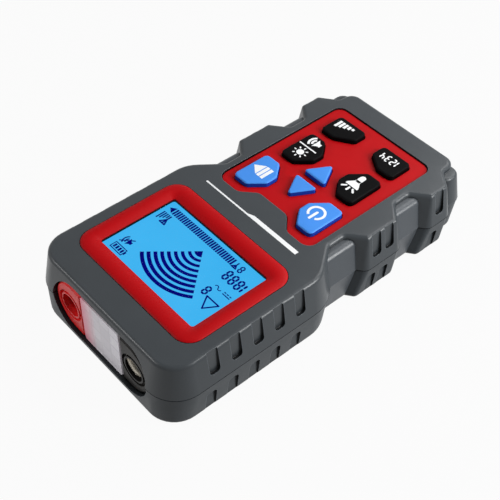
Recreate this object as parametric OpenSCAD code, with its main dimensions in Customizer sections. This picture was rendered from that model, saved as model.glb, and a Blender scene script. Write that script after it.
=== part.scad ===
// Handheld cable locator, emitter unit: a two-shell case with a display,
// a keypad, two plug sockets and a torch in its end, and a battery door in its back.
// +Z is up out of the face, +Y points to the socket end, the origin is under the middle of the back.

/* [Case] */
// Length of the case at the parting line
case_l = 182; // [160:1:200]
// Width of the head of the case at the parting line
case_w = 96.4; // [88:0.2:108]
// Height of the case from its back to its face
case_h = 35; // [32:0.5:40]
// Height of the parting line and of the sockets, as a share of the case's height
parting_share = 0.503; // [0.49:0.001:0.52]
// Lean of the upper wall, from the parting line in to the top edge
upper_flare = 2.8; // [2:0.1:3.4]
// Lean of the lower wall, from the parting line in to the back
lower_flare = 1.3; // [0.6:0.1:2]
// Round along the edge of the face
face_round = 2; // [1.2:0.1:2.4]
// Round along the edge of the back
back_round = 3; // [2:0.1:4]
// Thickness of the side walls at the parting line
side_wall = 5.2; // [4.8:0.1:6]
// Thickness of the face
face_wall = 3.2; // [3:0.1:3.6]
// Thickness of the back
back_wall = 2.4; // [2:0.1:3]
// Round of the corners at the socket end
head_round = 12; // [8:0.5:16]

/* [Grip] */
// Length of the wide head, as a share of the case's length
head_share = 0.439; // [0.42:0.001:0.45]
// Length of the slope behind the head, as a share of the case's length
head_slope_share = 0.081; // [0.07:0.001:0.09]
// Length of the floor of a finger hollow, as a share of the case's length
hollow_share = 0.048; // [0.04:0.001:0.055]
// Length of the cove that ends a finger hollow, as a share of the case's length
cove_share = 0.035; // [0.03:0.001:0.04]
// Length of the grip block between the hollows, as a share of the case's length
block_share = 0.1; // [0.09:0.001:0.105]
// Width across the grip blocks at the top edge, as a share of the case's width
block_w_share = 0.88; // [0.86:0.001:0.9]
// Width across the finger hollows in the face, as a share of the case's width
hollow_w_share = 0.71; // [0.7:0.001:0.72]
// Width across the finger pads at their top edge, as a share of the case's width
pad_w_share = 0.8; // [0.78:0.001:0.82]
// Drop from the face to the top of the finger pads
pad_drop = 2.5; // [2.2:0.1:3.5]
// Width of a grip slot
slot_w = 5.4; // [4:0.1:6]
// Depth of a grip slot at the parting line's end
slot_depth = 1.4; // [1:0.1:1.8]
// Spacing of the slots in the head, as a share of the case's length
slot_pitch_share = 0.063; // [0.05:0.001:0.066]
// Number of slots in each side of the head
head_slots = 5; // [3:1:5]

/* [Display] */
// Width of the display surround, as a share of the case's width
bezel_w_share = 0.797; // [0.78:0.001:0.81]
// Length of the display surround, as a share of the case's length
bezel_l_share = 0.3165; // [0.3:0.0005:0.325]
// Distance from the socket end to the display surround, as a share of the case's length
bezel_gap_share = 0.09; // [0.085:0.001:0.1]
// Height of the surround's crest above the face
bezel_rise = 0.9; // [0.6:0.1:2]
// Width of the surround beside the window
band_w = 7.5; // [7:0.1:9]
// Width of the surround before and behind the window
band_l = 8.85; // [8:0.05:10]
// Depth of the window below the face
window_drop = 1.4; // [1.2:0.1:2]
// Thickness of the window
window_t = 0.8; // [0.8:0.1:1.2]

/* [Keypad] */
// Width of the keypad panel, as a share of the case's width
panel_w_share = 0.612; // [0.6:0.001:0.62]
// Length of the keypad panel, as a share of the case's length
panel_l_share = 0.4253; // [0.42:0.0001:0.43]
// Distance from the display surround to the keypad panel, as a share of the case's length
panel_gap_share = 0.0835; // [0.08:0.0005:0.087]
// Thickness of the keypad panel
panel_t = 1.2; // [1:0.1:1.4]
// Depth of the keypad panel below the face
panel_drop = 0.8; // [0.4:0.1:1]
// Height of the key tops above the face
key_rise = 1.4; // [0.8:0.1:2.5]
// Travel of a key
key_travel = 0.8; // [0.5:0.1:1]
// Width of an upper key, as a share of the panel's width
key_w_share = 0.239; // [0.21:0.001:0.245]
// Length of an upper key, as a share of the panel's length
key_l_share = 0.2584; // [0.24:0.0002:0.263]
// Width of a lower key, as a share of the panel's width
set_key_w_share = 0.281; // [0.25:0.001:0.3]
// Length of a lower key, as a share of the panel's length
set_key_l_share = 0.172; // [0.15:0.001:0.18]
// Width of an arrow key, as a share of the panel's width
arrow_w_share = 0.217; // [0.19:0.001:0.225]
// Length of an arrow key, as a share of the panel's length
arrow_l_share = 0.147; // [0.13:0.001:0.152]

/* [Socket end] */
// Distance from the side of the case to the opening in the socket end
port_side = 15.7; // [15.2:0.1:17]
// Width of the opening that each socket block fills
socket_block_w = 19.5; // [19:0.1:20.5]
// Distance from the end of the opening to the socket axis
socket_in = 10.5; // [10:0.1:11]
// Radius of the shroud well round a socket
shroud_r = 5.5; // [5:0.1:5.8]
// Outer radius of the contact sleeve
sleeve_r = 3; // [2.6:0.1:3.4]
// Bore radius of the contact sleeve
bore_r = 2; // [2:0.05:2.05]
// Length of the bore in the contact sleeve
bore_l = 14; // [10:0.5:15]

/* [Battery] */
// Width of the battery
battery_w = 26.5; // [24:0.5:27]
// Length of the battery without its terminals
battery_l = 46; // [44:0.5:47]
// Thickness of the battery, as a share of the case's height
battery_t_share = 0.5; // [0.46:0.01:0.5]
// Width of the battery door
door_w = 36; // [34:0.5:37]
// Thickness of the battery door
door_t = 2; // [1.8:0.1:2.2]

/* [Hidden] */
$fn = 48;

// Overrun of every cut past the face it opens
overrun = 2;
// Gap round a piece that sits in a pocket
seat_gap = 0.25;
// Gap round a piece that moves
run_gap = 0.35;
// Gap round the keypad panel, which shows as a dark seam
panel_seam = 0.4;
// Smallest round of an outline's corner
least_round = 0.3;
// Segments of an outline's corner
corner_steps = 5;
// Segments of a square corner of the case
wide_steps = 10;
// Segments of a corner of the display surround
rim_steps = 8;
// Segments of a hidden outline's corner
plain_steps = 2;
// Segments of a socket block's end
block_steps = 12;
// Segments of a round along an edge
round_steps = 4;
// Segments of the surround's fall to the window
fall_steps = 4;

// Case heights and ends
parting_z = parting_share * case_h;
jack_end = case_l / 2;
wall_end = jack_end - upper_flare;
lip_step = 0.3;
groove = 0.5;
inner_top = case_h - face_wall;
inner_inset = side_wall - upper_flare;
inner_end = wall_end - inner_inset;

// Grip outline along the case
block_slope_share = 0.0385;
tail_block_share = 0.059;
tail_slope_share = 0.036;
cove_lean_share = 0.022;
head_l = head_share * case_l;
head_slope_l = head_slope_share * case_l;
hollow_l = hollow_share * case_l;
cove_l = cove_share * case_l;
block_l = block_share * case_l;
block_slope_l = block_slope_share * case_l;
tail_block_l = tail_block_share * case_l;
tail_slope_l = tail_slope_share * case_l;
tail_taper = 1;
cove_lean = cove_lean_share * case_l;
head_half = case_w / 2 - upper_flare;
block_half = block_w_share * case_w / 2;
hollow_half = hollow_w_share * case_w / 2;
head_back = wall_end - head_l;
hollow_start = head_back - head_slope_l;
hollow_stop = hollow_start - hollow_l;
block_start = hollow_stop - cove_l;
block_stop = block_start - block_l;
second_start = block_stop - block_slope_l;
second_stop = second_start - hollow_l;
tail_block_start = second_stop - cove_l;
tail_block_stop = tail_block_start - tail_block_l;
tail_waist = tail_block_stop - tail_slope_l;
tail_end = -wall_end;
shoulder_round = 16;
hollow_round = 3;
cove_round = 2.5;
tip_round = 1.6;
block_round = 2;
waist_round = 2.5;
tail_round = 5.5;
edge_round = 1;

// Finger pads, one in every hollow
pad_bury_share = 0.6;
pad_w = pad_w_share * case_w;
pad_flare = 2.4;
pad_edge_round = 1.8;
pad_corner = 2.5;
pad_tail_corner = 5;
pad_tail = tail_end + edge_round;

// Grip slots
head_slot_share = 0.548;
block_slot_share = 0.043;
slot_reach = 5;
slot_round = 1.8;
slot_fade = 0.7;
slot_half_gap = 5.2;
low_slot_shift = 2.1;
slot_pitch = slot_pitch_share * case_l;
block_slot_pitch = block_slot_share * case_l;
head_slot_mid = wall_end - head_slot_share * head_l;
block_slot_mid = block_start - block_l / 2;
tail_slot_mid = tail_block_start - tail_block_l / 2;

// Display stack
light_t_share = 0.103;
crest_share = 0.4;
bezel_w = bezel_w_share * case_w;
bezel_l = bezel_l_share * case_l;
bezel_gap = bezel_gap_share * case_l;
bezel_y = jack_end - bezel_gap - bezel_l / 2;
bezel_corner = 8;
bezel_seat = 1.5;
bezel_flange = 3;
bezel_lip = 0.8;
window_w = bezel_w - 2 * band_w;
window_l = bezel_l - 2 * band_l;
window_corner = 1.4;
window_top = case_h - window_drop;
window_bottom = window_top - window_t;
glass_edge = 2.6;
glass_t = 2;
glass_w = window_w + 2 * glass_edge;
glass_l = window_l + 2 * glass_edge;
glass_bottom = window_bottom - glass_t;
zebra_w = 2.6;
zebra_inset = 0.6;
light_t = light_t_share * case_h;
board_t = 1.6;
board_top = glass_bottom - light_t;
board_bottom = board_top - board_t;

// Keypad
notch_top_share = 0.55;
notch_bottom_share = 0.31;
notch_depth_share = 0.09;
key_margin_share = 0.0685;
key_row_share = 0.084;
set_row_share = 0.075;
arrow_drop_share = 0.0084;
key_chamfer_w_share = 0.418;
key_chamfer_l_share = 0.36;
set_chamfer_w_share = 0.52;
set_chamfer_l_share = 0.43;
panel_w = panel_w_share * case_w;
panel_l = panel_l_share * case_l;
panel_top = case_h - panel_drop;
panel_bottom = panel_top - panel_t;
panel_round = 4.5;
panel_start = bezel_y - bezel_l / 2 - panel_gap_share * case_l;
panel_y = panel_start - panel_l / 2;
notch_round = 5;
opening_edge = 3;
key_top = case_h + key_rise;
key_lean = 0.3;
key_round = 2;
key_edge = 0.45;
key_ledge = 0.9;
key_flange_t = 0.8;
key_seat_gap = 0.2;
key_side = 4.65;
key_inset = 2.4;
key_w = key_w_share * panel_w;
key_l = key_l_share * panel_l;
set_key_w = set_key_w_share * panel_w;
set_key_l = set_key_l_share * panel_l;
arrow_w = arrow_w_share * panel_w;
arrow_l = arrow_l_share * panel_l;
key_outer = panel_w / 2 - key_side;
key_inner = key_outer - key_w;
low_key_outer = key_outer - key_inset;
key_chamfer_w = key_chamfer_w_share * key_w;
key_chamfer_l = key_chamfer_l_share * key_l;
set_chamfer_w = set_chamfer_w_share * set_key_w;
set_chamfer_l = set_chamfer_l_share * set_key_l;
arrow_round = 0.8;
arrow_gap = 4.8;
nub_r = 2.8;
dome_r = 4;
dome_h = 0.5;
dome_clear = 0.1;
mat_t = 1;
mat_hole_r = dome_r + run_gap;
flange_top = panel_bottom - key_seat_gap;
flange_bottom = flange_top - key_flange_t;
nub_bottom = board_top + dome_h + dome_clear + key_travel;
key_row_gap = key_row_share * panel_l;
row_1 = panel_start - key_margin_share * panel_l;
row_2 = row_1 - key_l - key_row_gap;
row_3 = row_2 - key_l - set_row_share * panel_l;
arrow_mid = row_1 - key_l - key_row_gap / 2 - arrow_drop_share * panel_l;
opening_w = panel_w - 2 * opening_edge;
opening_start = panel_start - opening_edge;
opening_stop = row_3 - set_key_l - opening_edge;
ear_gap = key_lean + key_ledge + run_gap * 2;

// Socket end
port_w = case_w - 2 * port_side;
port_top_gap = 0.6;
port_r = inner_top - parting_z - port_top_gap;
socket_x = port_w / 2 - socket_in;
socket_recess = 2;
socket_face = jack_end - socket_recess;
socket_l = 17;
socket_back = socket_face - socket_l;
block_gap = 0.4;
block_bevel = 0.9;
block_r = port_r - block_gap;
block_half_w = port_w / 2 - block_gap;
flange_over = 0.8;
flange_t = 1.8;
flange_front = inner_end - seat_gap;
ring_t = 0.9;
ring_groove_w = 1.3;
ring_groove_depth = 1.2;
shroud_depth = 12;
sleeve_recess = 3;
sleeve_gap = 0.05;
sleeve_tail = 3;
tag_w = 3;
tag_t = 1;
sleeve_front = socket_face - sleeve_recess;
sleeve_back = socket_back - sleeve_tail;
lens_w = port_w - 2 * socket_block_w;
lens_half = lens_w / 2;
lens_round = 0.8;
torch_board_t = 1.6;
torch_board_w = lens_w + block_gap;
torch_board_h = 22;
led_r = 2.5;
led_rim_r = 2.9;
led_rim_t = 1;
led_l = 6;
led_side = 2.1;
led_count = 3;
led_pitch = (lens_w - 2 * (led_rim_r + led_side)) / (led_count - 1);
lens_back = flange_front - flange_t;
led_tip = lens_back - seat_gap;
torch_board_front = led_tip - led_l - led_r;

// Case screws
case_post_r = 3.6;
case_foot_r = 4.6;
head_screw_in = 9;
screw_edge = 0.6;
case_screw_x = case_w / 2 - side_wall - case_foot_r - edge_round;
case_screw_y = inner_end - head_screw_in;
tail_screw_x = hollow_half - inner_inset - tail_taper - case_foot_r - screw_edge;
tail_screw_y = -inner_end + case_post_r + screw_edge;
screw_well_r = 3.3;
screw_well_depth = 9;
screw_clear_r = 1.75;
screw_pilot_r = 1.5;
screw_r = 1.45;
screw_head_r = 2.8;
screw_head_t = 2.5;
pilot_depth = 10;
screw_tip_gap = 2.6;
screw_l = parting_z + pilot_depth - screw_tip_gap - screw_well_depth;

// Board
post_r = 2.4;
post_pilot_r = 1;
post_gap = 0.5;
board_side = 2.8;
board_step = 2;
board_waist_w = 2 * (hollow_half - inner_inset - tail_taper - board_side);
board_start = socket_back - tag_t / 2;
board_waist = head_back + edge_round + board_step;
post_x = bezel_w / 2 - bezel_flange + post_r + 2 * seat_gap;
post_top_y = bezel_y + glass_l / 2 - post_r;
post_low_y = bezel_y - glass_l / 2 + post_r;
board_head_w = 2 * (post_x + post_r + seat_gap);
board_tab_half = tail_screw_x - case_post_r - post_gap;
board_tab_start = tail_screw_y + case_post_r + post_gap;
tail_post_x = board_tab_half - post_r;
tail_post_y = opening_stop - post_r - seat_gap;
board_stop = min(tail_post_y - post_r - seat_gap, board_tab_start - board_step);
board_hole_r = 1.2;
board_screw_r = 0.95;
board_head_r = 2;
board_head_t = 1.6;
board_screw_l = 4.4;
post_depth = 5;

// Battery bay and door
bay_gap = 0.5;
bay_wall = 2.2;
door_clear = 0.3;
door_bottom = 0.3;
rail_w = 1.6;
rail_t = 1.1;
rim_w = 2;
rim_t = 2;
battery_t = battery_t_share * case_h;
door_top = door_bottom + door_t;
bay_floor = door_top + door_clear;
bay_half = battery_w / 2 + bay_gap;
bay_margin = 8.5;
bay_start = -inner_end + bay_margin;
snap_room = 12;
bay_stop = bay_start + battery_l + bay_gap + snap_room;
bay_top = bay_floor + bay_gap + battery_t + bay_gap;
battery_bottom = bay_floor + bay_gap;
battery_round = 2;
battery_start = bay_start + bay_gap;
battery_stop = battery_start + battery_l;
battery_mid_z = battery_bottom + battery_t / 2;
terminal_x = 6.35;
plus_r = 2.9;
minus_r = 4.2;
terminal_l = 2.8;
snap_t = 5;
snap_w = 25;
snap_margin = 1.75;
snap_h = battery_t - 2 * snap_margin;
strip_w = 4;
strip_t = 0.5;
strip_drop = 3;
strip_z = battery_bottom + battery_t - strip_drop;
strip_reach = 5;
strip_stop = bay_stop + bay_wall + strip_reach;
door_margin = 2;
door_front = bay_stop + door_margin;
door_tongue = 1.2;
tail_z_end = -(wall_end + upper_flare - lip_step - lower_flare);
thumb_ribs = 4;
thumb_pitch = 3;
thumb_w = 1.4;
thumb_depth = 0.5;
thumb_l = 20;
thumb_margin = 12;
thumb_start = tail_z_end + thumb_margin;

// Inner pieces on the board
sounder_r = 7;
sounder_h = 7.5;
sounder_port_r = 1.6;
sounder_x = -24;
sounder_y = bezel_y - bezel_gap;
core_w = 20;
core_l = 17;
core_h = 11;
coil_over = 2.5;
transformer_x = 18;
transformer_y = bezel_y;
chip_t = 1.5;
chip_w = 12;
chip_pitch = 20;
chip_gap = 7.8;
chip_y = strip_stop + chip_w / 2 + chip_gap;

shell_grey = "#565b5f";
signal_red = "#c41a22";
key_blue = "#3f8df0";
key_black = "#17181a";

// Outline helpers

function unit(v) = v / norm(v);
function left_of(d) = [-d[1], d[0]];
function turned(v, a) = [v[0] * cos(a) - v[1] * sin(a), v[0] * sin(a) + v[1] * cos(a)];
function lifted(points, z) = [for (p = points) [p[0], p[1], z]];
function mirrored(corners) =
    [for (i = [len(corners) - 1:-1:0])
        [for (k = [0:len(corners[i]) - 1]) k == 0 ? -corners[i][k] : corners[i][k]]];
function shifted(corners, x, y) = [for (c = corners) [c[0] + x, c[1] + y, c[2]]];

// Arc that rounds one corner of an outline drawn in by inset
function corner_arc(before, here, after, radius, inset, steps) =
    let (
        d1 = unit(here - before),
        d2 = unit(after - here),
        n1 = left_of(d1),
        n2 = left_of(d2),
        turn = atan2(d1[0] * d2[1] - d1[1] * d2[0], d1 * d2),
        side = turn < 0 ? -1 : 1,
        r = max(radius - side * inset, least_round),
        vertex = here + (n1 + n2) * inset / (1 + n1 * n2),
        start = vertex - d1 * r * tan(abs(turn) / 2),
        centre = start + n1 * side * r
    )
    [for (k = [0:steps]) centre + turned(-n1 * side * r, turn * k / steps)];

// Closed outline through corners [x, y, round], counter-clockwise, drawn in by inset.
// A fourth value in a corner is its own number of segments.
function outline(corners, inset = 0, steps = corner_steps) =
    let (n = len(corners))
    [for (i = [0:n - 1])
        let (b = corners[(i + n - 1) % n], c = corners[i], a = corners[(i + 1) % n])
        each corner_arc([b[0], b[1]], [c[0], c[1]], [a[0], a[1]], c[2], inset, len(c) > 3 ? c[3] : steps)];

function box_corners(w, l, r, y = 0) = [
    [w / 2, y - l / 2, r], [w / 2, y + l / 2, r], [-w / 2, y + l / 2, r], [-w / 2, y - l / 2, r]
];

// Solid through rings of points, from the lowest ring to the highest
module loft(rings) {
    count = len(rings[0]);
    last = len(rings) - 1;
    points = [for (ring = rings) each ring];
    top = last * count;
    floor_faces = [for (i = [0:count / 2 - 2]) [i, i + 1, count - 2 - i, count - 1 - i]];
    top_faces = [for (i = [0:count / 2 - 2])
        [top + count - 1 - i, top + count - 2 - i, top + i + 1, top + i]];
    sides = [for (k = [0:last - 1]) for (i = [0:count - 1])
        let (a = k * count + i, b = k * count + (i + 1) % count)
        each [[a, a + count, b + count], [a, b + count, b]]];
    polyhedron(points, concat(floor_faces, sides, top_faces));
}

// Closed frame through rings of points, up its outside and down its inside
module frame_loft(rings) {
    count = len(rings[0]);
    total = count * len(rings);
    points = [for (ring = rings) each ring];
    faces = [for (k = [0:len(rings) - 1]) for (i = [0:count - 1])
        let (a = k * count + i, b = k * count + (i + 1) % count)
        each [[a, (a + count) % total, (b + count) % total], [a, (b + count) % total, b]]];
    polyhedron(points, faces);
}

// Upright prism of an outline between two heights
module prism(points, low, high) {
    translate([0, 0, low])
        linear_extrude(high - low)
            polygon(points);
}

// Upright box between two corners
module block(low, high) {
    translate(low)
        cube(high - low);
}

// Cylinder along +Y between two places
module y_cylinder(x, z, r, y_low, y_high) {
    translate([x, y_high, z])
        rotate([90, 0, 0])
            cylinder(r = r, h = y_high - y_low);
}

module both_sides() {
    children();
    mirror([1, 0, 0])
        children();
}

// Case forms

// Right half of the case's outline, from the tail to the socket end.
// The socket end and the coves that face it can be moved towards it.
function grip_right(end_shift, cove_shift) = [
    [hollow_half - tail_taper, tail_end, tail_round, wide_steps],
    [hollow_half, tail_waist, waist_round],
    [block_half, tail_block_stop, block_round],
    [block_half, tail_block_start + cove_shift, tip_round],
    [hollow_half, second_stop + cove_shift, cove_round],
    [hollow_half, second_start, hollow_round],
    [block_half, block_stop, block_round],
    [block_half, block_start + cove_shift, tip_round],
    [hollow_half, hollow_stop + cove_shift, cove_round],
    [hollow_half, hollow_start, hollow_round],
    [head_half, head_back, shoulder_round],
    [head_half, wall_end + end_shift, head_round, wide_steps]
];
function grip_corners(end_shift, cove_shift) =
    concat(grip_right(end_shift, cove_shift), mirrored(grip_right(end_shift, cove_shift)));

case_corners = grip_corners(0, 0);
back_corners = grip_corners(lower_flare, cove_lean);
inner_right = [
    [hollow_half - inner_inset - tail_taper, -inner_end, edge_round],
    [hollow_half - inner_inset - tail_taper, head_back + edge_round, edge_round],
    [head_half - inner_inset, head_back + edge_round, edge_round],
    [head_half - inner_inset, inner_end, head_round - inner_inset]
];
inner_corners = concat(inner_right, mirrored(inner_right));

// Finger pads, as [tail end, buried end, round of the corners]
pad_places = [
    [hollow_stop, hollow_start + pad_bury_share * head_slope_l, pad_corner],
    [second_stop, second_start + pad_bury_share * block_slope_l, pad_corner],
    [pad_tail, tail_waist + pad_bury_share * tail_slope_l, pad_tail_corner]
];
function pad_corners(place) = box_corners(pad_w, place[1] - place[0], place[2], (place[0] + place[1]) / 2);

function upper_rings(corners, flare, low, top, round) = concat(
    [lifted(outline(corners, -flare), low)],
    [for (k = [0:round_steps])
        let (a = 90 * k / round_steps)
        lifted(outline(corners, round * (1 - cos(a))), top - round * (1 - sin(a)))]
);

function lower_rings(corners, back, flare, low, top) = concat(
    [for (k = [round_steps:-1:0])
        let (a = 90 * k / round_steps)
        lifted(outline(back, lower_flare + lip_step - flare + back_round * (1 - cos(a))),
            low + back_round * (1 - sin(a)))],
    [lifted(outline(corners, lip_step - flare), top - groove)],
    [lifted(outline(corners, lip_step - flare + groove), top)]
);

// Cutter for one grip slot, standing against a leaning wall and running out of it
module slot_cut(x, y, z, lean, length) {
    translate([x, y, z])
        rotate([0, lean, 0])
            translate([-slot_depth, 0, length / 2])
                rotate([90, 0, 90])
                    linear_extrude(slot_depth + slot_reach)
                        polygon(outline(box_corners(slot_w, length, slot_round)));
}

// Places of the slots along one side, as [half width of the wall at the top edge, y]
slot_places = concat(
    [for (i = [0:head_slots - 1])
        [head_half, head_slot_mid + (i - (head_slots - 1) / 2) * slot_pitch]],
    [for (i = [0:1]) [block_half, block_slot_mid + (i - 1 / 2) * block_slot_pitch]],
    [[block_half, tail_slot_mid]]
);

module upper_slots() {
    rise = case_h - face_round - parting_z;
    flare = upper_flare * (1 - slot_half_gap / rise);
    lean = -atan2(flare - slot_depth + slot_fade, rise - slot_half_gap);
    foot = parting_z + slot_half_gap;
    both_sides()
        for (place = slot_places)
            slot_cut(place[0] + flare, place[1], foot, lean, case_h);
}

module lower_slots() {
    rise = parting_z - groove - back_round;
    drop = slot_half_gap - groove;
    lean = -atan2(lower_flare * (1 - drop / rise) - slot_depth + slot_fade, rise - drop);
    head = parting_z - slot_half_gap;
    flare = upper_flare - lip_step - lower_flare * drop / rise;
    both_sides()
        for (place = slot_places)
            mirror([0, 0, 1])
                slot_cut(place[0] + flare, place[1] + low_slot_shift, -head, lean, case_h);
}

// Port in the socket end, for both shells
module port_2d(half_w, r) {
    square([2 * (half_w - r), 2 * r], center = true);
    for (side = [-1, 1])
        translate([side * (half_w - r), 0])
            circle(r = r);
}

module port_cut() {
    translate([0, jack_end + overrun, parting_z])
        rotate([90, 0, 0])
            linear_extrude(jack_end + overrun - inner_end + overrun)
                port_2d(port_w / 2, port_r);
}

case_screw_places = [[case_screw_x, case_screw_y], [tail_screw_x, tail_screw_y]];
board_post_places = [[post_x, post_top_y], [post_x, post_low_y], [tail_post_x, tail_post_y]];

panel_right = [
    [panel_w / 2, panel_y - panel_l / 2, panel_round],
    [panel_w / 2, panel_start, panel_round],
    [notch_top_share * panel_w / 2, panel_start, notch_round],
    [notch_bottom_share * panel_w / 2, panel_start - notch_depth_share * panel_l, notch_round]
];
panel_corners = concat(panel_right, mirrored(panel_right));

ear_low = [key_inner, row_1 - key_chamfer_l] + left_of(unit([key_chamfer_w, key_chamfer_l])) * ear_gap;
ear_x = ear_low[0] + (opening_start - ear_low[1]) * key_chamfer_w / key_chamfer_l;
opening_right = [
    [opening_w / 2, opening_stop, panel_round],
    [opening_w / 2, opening_start, panel_round],
    [ear_x, opening_start, edge_round],
    [ear_low[0], ear_low[1], edge_round]
];
opening_corners = concat(opening_right, mirrored(opening_right));

bezel_corners = box_corners(bezel_w, bezel_l, bezel_corner, bezel_y);

// Upper shell, with the face, its pockets and the posts for board and screws
module upper_shell() {
    color(shell_grey)
        difference() {
            union() {
                difference() {
                    union() {
                        loft(upper_rings(case_corners, upper_flare, parting_z, case_h, face_round));
                        for (place = pad_places)
                            loft(upper_rings(pad_corners(place), pad_flare, parting_z + lip_step,
                                case_h - pad_drop, pad_edge_round));
                    }
                    prism(outline(inner_corners), parting_z - overrun, inner_top);
                }
                both_sides() {
                    for (place = case_screw_places)
                        translate([place[0], place[1], parting_z])
                            cylinder(r = case_post_r, h = inner_top - parting_z + overrun / 2);
                    for (place = board_post_places)
                        translate([place[0], place[1], board_top])
                            cylinder(r = post_r, h = inner_top - board_top + overrun / 2);
                }
            }
            prism(outline(bezel_corners, -seat_gap, rim_steps), case_h - bezel_seat, case_h + overrun);
            prism(outline(bezel_corners, bezel_flange - seat_gap, rim_steps), inner_top - overrun, case_h);
            prism(outline(panel_corners, -panel_seam), panel_bottom, case_h + overrun);
            prism(outline(opening_corners), inner_top - overrun, case_h);
            port_cut();
            upper_slots();
            both_sides() {
                for (place = case_screw_places)
                    translate([place[0], place[1], parting_z - overrun])
                        cylinder(r = screw_pilot_r, h = pilot_depth + overrun);
                for (place = board_post_places)
                    translate([place[0], place[1], board_top - overrun])
                        cylinder(r = post_pilot_r, h = post_depth + overrun);
            }
        }
}

// Lower shell, with the battery bay, the door's rails and the wells of the case screws
module lower_shell() {
    color(shell_grey)
        difference() {
            union() {
                difference() {
                    union() {
                        loft(lower_rings(case_corners, back_corners, upper_flare, 0, parting_z));
                        for (place = pad_places)
                            loft(lower_rings(pad_corners(place), pad_corners(place), pad_flare, lip_step,
                                parting_z - lip_step));
                    }
                    prism(outline(inner_corners), back_wall, parting_z + overrun);
                }
                block([-bay_half - bay_wall, bay_start - bay_wall, back_wall / 2],
                    [bay_half + bay_wall, bay_stop + bay_wall, bay_top + bay_wall / 2]);
                block([-door_w / 2 - rail_w - rim_w, tail_z_end + back_round, back_wall / 2],
                    [door_w / 2 + rail_w + rim_w, door_front + door_tongue + rim_w, bay_floor + rim_t]);
                both_sides()
                    for (place = case_screw_places)
                        translate([place[0], place[1], back_wall / 2])
                            cylinder(r = case_foot_r, h = parting_z - back_wall / 2);
            }
            block([-bay_half, bay_start, -overrun], [bay_half, bay_stop, bay_top]);
            block([-door_w / 2 - door_clear, tail_z_end - overrun, -overrun],
                [door_w / 2 + door_clear, door_front + door_clear, bay_floor]);
            block([-door_w / 2 - rail_w - door_clear, tail_z_end - overrun,
                    door_top - rail_t - door_clear],
                [door_w / 2 + rail_w + door_clear, door_front + door_tongue + door_clear, bay_floor]);
            port_cut();
            lower_slots();
            for (side = [-1, 1])
                block([side * terminal_x - strip_w / 2 - seat_gap, bay_stop - overrun, strip_z - seat_gap],
                    [side * terminal_x + strip_w / 2 + seat_gap, bay_stop + bay_wall + overrun,
                        strip_z + strip_t + seat_gap]);
            both_sides()
                for (place = case_screw_places)
                    translate([place[0], place[1], -overrun]) {
                        cylinder(r = screw_well_r, h = screw_well_depth + overrun);
                        cylinder(r = screw_clear_r, h = parting_z + 2 * overrun);
                    }
        }
}

// Display surround: a raised frame with a rounded rim that falls to the window
module lcd_bezel() {
    crest = case_h + bezel_rise;
    lip = window_top + bezel_lip;
    flange = function(z) lifted(outline(bezel_corners, bezel_flange, rim_steps), z);
    level = function(share, z)
        lifted(outline(box_corners(bezel_w - 2 * band_w * share, bezel_l - 2 * band_l * share,
            bezel_corner + (window_corner - bezel_corner) * share, bezel_y), 0, rim_steps), z);
    rim = [for (k = [0:round_steps])
        let (a = 90 * k / round_steps)
        level(crest_share * (1 - cos(a)), case_h + bezel_rise * sin(a))];
    fall = [for (k = [1:fall_steps])
        let (t = k / fall_steps)
        level(crest_share + (1 - crest_share) * t, crest - (crest - lip) * t * t)];
    color(signal_red)
        frame_loft(concat(
            [flange(window_bottom), flange(case_h - bezel_seat), level(0, case_h - bezel_seat)],
            rim,
            fall,
            [level(1, window_bottom)]
        ));
}

module lcd_window() {
    color("#9fd8ff", 0.4)
        prism(outline(box_corners(window_w, window_l, window_corner, bezel_y), seat_gap),
            window_bottom, window_top);
}

// Display glass, clamped between the surround and the backlight
module lcd_panel() {
    color("#42b4f2")
        prism(outline(box_corners(glass_w, glass_l, edge_round, bezel_y)), glass_bottom, window_bottom);
}

module backlight() {
    color("#e8f4ff")
        prism(outline(box_corners(window_w, glass_l - 2 * (zebra_w + 2 * zebra_inset), edge_round, bezel_y)),
            board_top, glass_bottom);
}

// Rubber contact strips between the display glass and the board
module zebra_strips() {
    color("#d88fa8")
        for (side = [-1, 1])
            translate([0, bezel_y + side * (glass_l / 2 - zebra_inset - zebra_w / 2),
                (board_top + glass_bottom) / 2])
                cube([window_w, zebra_w, glass_bottom - board_top], center = true);
}

// Key outlines at the key tops, as corners [x, y, round]

upper_key_right = [
    [0, 0, key_round],
    [0, key_l, key_round],
    [key_chamfer_w - key_w, key_l, key_round],
    [-key_w, key_l - key_chamfer_l, key_round],
    [-key_w, key_chamfer_l, key_round],
    [key_chamfer_w - key_w, 0, key_round]
];
set_key_right = [
    [0, 0, key_round],
    [0, set_key_l, key_round],
    [set_chamfer_w - set_key_w, set_key_l, key_round],
    [-set_key_w, set_key_l - set_chamfer_l, key_round],
    [-set_key_w, 0, key_round]
];
arrow_corners = [[-arrow_w / 2, 0, arrow_round], [arrow_w / 2, 0, arrow_round], [0, arrow_l, arrow_round]];

send_corners = shifted(upper_key_right, key_outer, row_1 - key_l);
power_corners = mirrored(send_corners);
light_corners = shifted(upper_key_right, low_key_outer, row_2 - key_l);
torch_corners = mirrored(light_corners);
level_corners = shifted(set_key_right, low_key_outer, row_3 - set_key_l);
code_corners = mirrored(level_corners);
up_corners = shifted(arrow_corners, 0, arrow_mid + arrow_gap / 2);
down_corners = [for (i = [len(up_corners) - 1:-1:0])
    [up_corners[i][0], 2 * arrow_mid - up_corners[i][1], up_corners[i][2]]];
key_outlines = [
    power_corners, send_corners, up_corners, down_corners,
    torch_corners, light_corners, code_corners, level_corners
];

function mean(values) = [for (v = values) 1] * values / len(values);
function key_centre(corners) = [mean([for (c = corners) c[0]]), mean([for (c = corners) c[1]])];

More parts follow.
